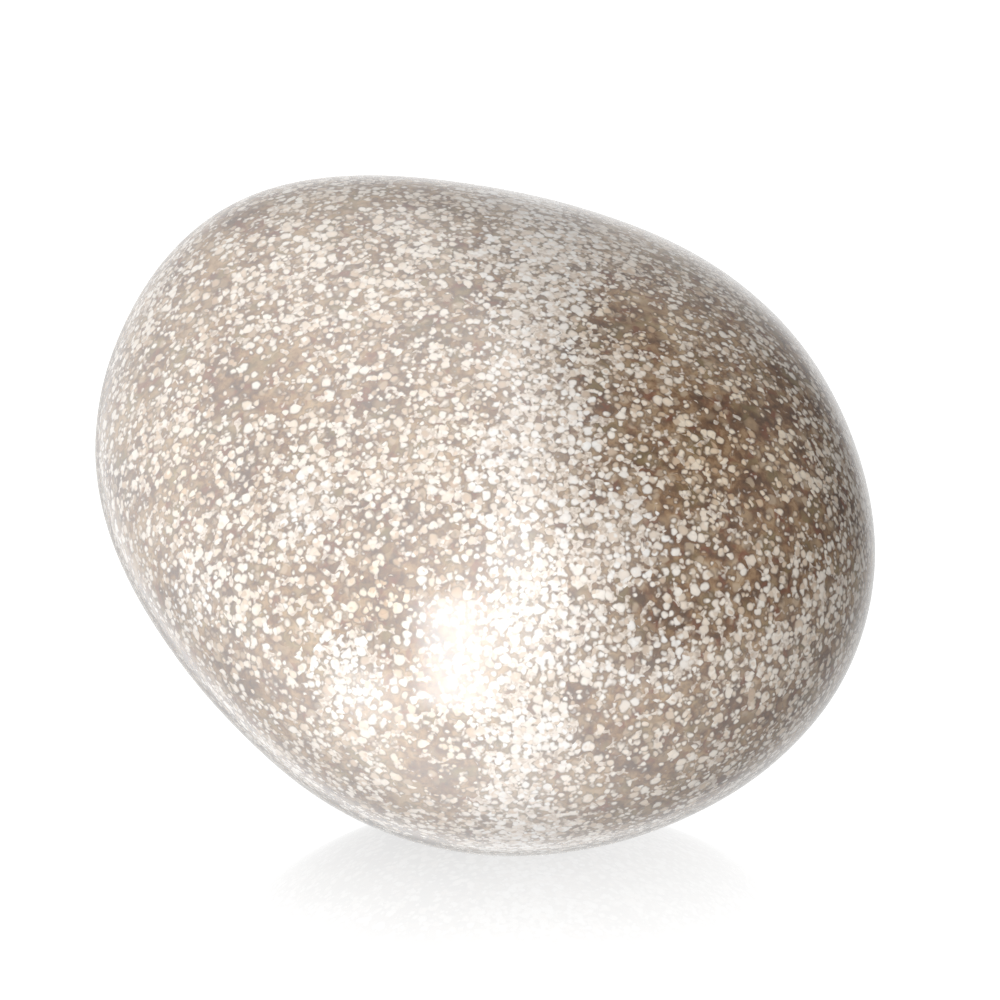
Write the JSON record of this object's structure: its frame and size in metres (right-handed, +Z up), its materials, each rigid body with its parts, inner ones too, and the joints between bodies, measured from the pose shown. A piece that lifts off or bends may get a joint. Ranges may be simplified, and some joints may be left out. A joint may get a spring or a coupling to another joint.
{
  "type": "tumbled stone",
  "caption": "Polished tumbled pebble of spotted jasper: a plump egg-like body with softly worn faces that stands on a small flat spot underneath.",
  "frame": {"origin": "on the surface that the stone stands on, under the middle of the stone's box", "axes": "+Z up; +X towards the lower end, along the stone's greatest width; the stone's fullest bulge looks towards -Y; the height along +Z is the least of the three"},
  "size_m": [0.0296, 0.0264, 0.0243],
  "materials": {
    "jasper": "high polish, small cream spots close together in a translucent brown ground"
  },
  "bodies": {
    "root": {"jasper_stone": "jasper"}
  },
  "joints": []
}
